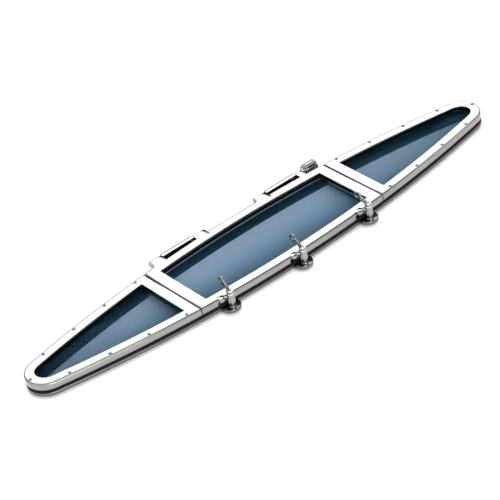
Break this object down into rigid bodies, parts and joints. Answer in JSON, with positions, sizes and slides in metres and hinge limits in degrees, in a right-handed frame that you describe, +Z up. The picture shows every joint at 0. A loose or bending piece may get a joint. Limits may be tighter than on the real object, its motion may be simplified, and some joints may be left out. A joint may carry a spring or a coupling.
{
  "type": "deck hatch",
  "caption": "Long boat-shaped deck hatch: fixed tinted windows at both ends, a hinged glazed lid between them, screw dogs with thumb levers and a friction knob.",
  "frame": {"origin": "centre of the outline, at the underside of the base flange, where it meets the deck", "axes": "+X along the hatch towards the end nearest the friction knob, +Y towards the hinges, +Z up out of the deck"},
  "size_m": [1.4, 0.303, 0.0862],
  "materials": {
    "polished_steel": "mirror-polished stainless steel",
    "satin_steel": "satin stainless steel",
    "tinted_glass": "blue-grey tinted, polished",
    "black_rubber": "matt black",
    "nylon": "matt natural nylon",
    "brass": "plain turned brass"
  },
  "bodies": {
    "root": {"base_frame": "polished_steel", "perimeter_gasket": "black_rubber", "lid_seal": "black_rubber", "dog_sockets": "satin_steel", "hinge_bracket_left": "polished_steel", "hinge_bracket_right": "polished_steel", "bracket_screws": "satin_steel", "hinge_pin_left": "satin_steel", "hinge_pin_right": "satin_steel", "wing_frame_left": "polished_steel", "wing_frame_right": "polished_steel", "wing_glass_left": "tinted_glass", "wing_glass_right": "tinted_glass", "wing_glass_seal_left": "black_rubber", "wing_glass_seal_right": "black_rubber", "wing_bed_seal_left": "black_rubber", "wing_bed_seal_right": "black_rubber", "wing_screws_left": "satin_steel", "wing_screws_right": "satin_steel", "friction_washer": "nylon"},
    "lid": {"lid_frame": "polished_steel", "lid_glass": "tinted_glass", "lid_glass_seal": "black_rubber", "lid_bed_seal": "black_rubber", "lid_glass_retainer": "satin_steel", "retainer_screws": "satin_steel", "hinge_bushes": "nylon", "thrust_washers": "nylon"},
    "knob": {"friction_knob": "polished_steel"},
    "dog_travel_1": {"dog_collar_1": "brass"},
    "dog_turn_1": {"dog_bolt_1": "satin_steel", "dog_clip_1": "satin_steel", "dog_lever_1": "polished_steel", "lever_pin_1": "satin_steel"},
    "dog_travel_2": {"dog_collar_2": "brass"},
    "dog_turn_2": {"dog_bolt_2": "satin_steel", "dog_clip_2": "satin_steel", "dog_lever_2": "polished_steel", "lever_pin_2": "satin_steel"},
    "dog_travel_3": {"dog_collar_3": "brass"},
    "dog_turn_3": {"dog_bolt_3": "satin_steel", "dog_clip_3": "satin_steel", "dog_lever_3": "polished_steel", "lever_pin_3": "satin_steel"}
  },
  "joints": [
    {"name": "lid_hinge", "type": "hinge", "parent": "root", "child": "lid", "pos_m": [0, 0.133, 0.0298], "axis": [-1, 0, 0], "range_deg": [0, 110]},
    {"name": "knob_turn", "type": "hinge", "parent": "root", "child": "knob", "pos_m": [0.2548, 0.133, 0.0298], "axis": [1, 0, 0], "range_deg": [0, 540]},
    {"name": "dog_lift_1", "type": "slide", "parent": "lid", "child": "dog_travel_1", "axis": [0, 0, 1], "range_m": [0, 0.006]},
    {"name": "dog_screw_1", "type": "hinge", "parent": "dog_travel_1", "child": "dog_turn_1", "pos_m": [-0.209, -0.12601, 0.04], "axis": [0, 0, 1], "range_deg": [0, 1080]},
    {"name": "dog_lift_2", "type": "slide", "parent": "lid", "child": "dog_travel_2", "axis": [0, 0, 1], "range_m": [0, 0.006]},
    {"name": "dog_screw_2", "type": "hinge", "parent": "dog_travel_2", "child": "dog_turn_2", "pos_m": [0.007, -0.13299, 0.04], "axis": [0, 0, 1], "range_deg": [0, 1080]},
    {"name": "dog_lift_3", "type": "slide", "parent": "lid", "child": "dog_travel_3", "axis": [0, 0, 1], "range_m": [0, 0.006]},
    {"name": "dog_screw_3", "type": "hinge", "parent": "dog_travel_3", "child": "dog_turn_3", "pos_m": [0.223, -0.12504, 0.04], "axis": [0, 0, 1], "range_deg": [0, 1080]}
  ],
  "couplings": [
    {"joint": "dog_screw_1", "follows": "dog_lift_1", "rad_per_m": 3141.5},
    {"joint": "dog_screw_2", "follows": "dog_lift_2", "rad_per_m": 3141.5},
    {"joint": "dog_screw_3", "follows": "dog_lift_3", "rad_per_m": 3141.5}
  ]
}
